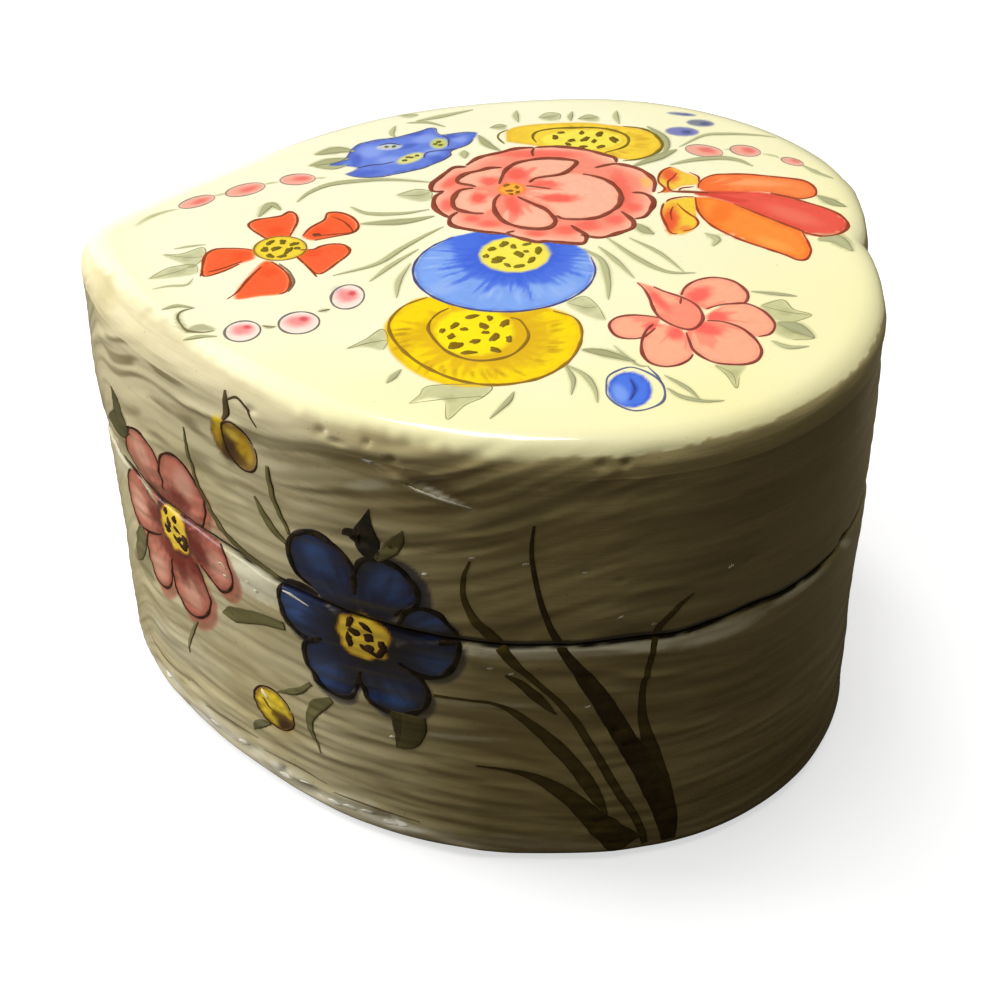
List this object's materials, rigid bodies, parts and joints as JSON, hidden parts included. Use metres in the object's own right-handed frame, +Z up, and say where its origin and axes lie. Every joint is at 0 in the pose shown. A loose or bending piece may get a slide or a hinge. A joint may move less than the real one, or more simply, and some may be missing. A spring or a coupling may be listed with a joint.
{
  "type": "papier mache box",
  "caption": "Heart-shaped papier mache trinket box with a lift-off lid on an inner collar, ivory lacquer and hand-painted flowers.",
  "frame": {"origin": "centre of the bounding box on the plane that the box stands on", "axes": "+X from the heart's tip to the cleft between its lobes, +Y across the lobes, +Z up"},
  "size_m": [0.1016, 0.0914, 0.0644],
  "materials": {
    "ivory_lacquer": "gloss lacquer over painted gesso",
    "black_lacquer": "satin black lacquer over pasted paper"
  },
  "bodies": {
    "base": {"underside_sheet": "black_lacquer", "base_floor": "black_lacquer", "base_wall": "ivory_lacquer", "locating_collar": "black_lacquer", "floor_lining": "black_lacquer"},
    "lid": {"lid_wall": "ivory_lacquer", "lid_top": "ivory_lacquer", "lid_lining": "black_lacquer"}
  },
  "joints": [
    {"name": "lid_lift", "type": "slide", "parent": "base", "child": "lid", "axis": [0, 0, 1], "range_m": [0, 0.045]}
  ]
}
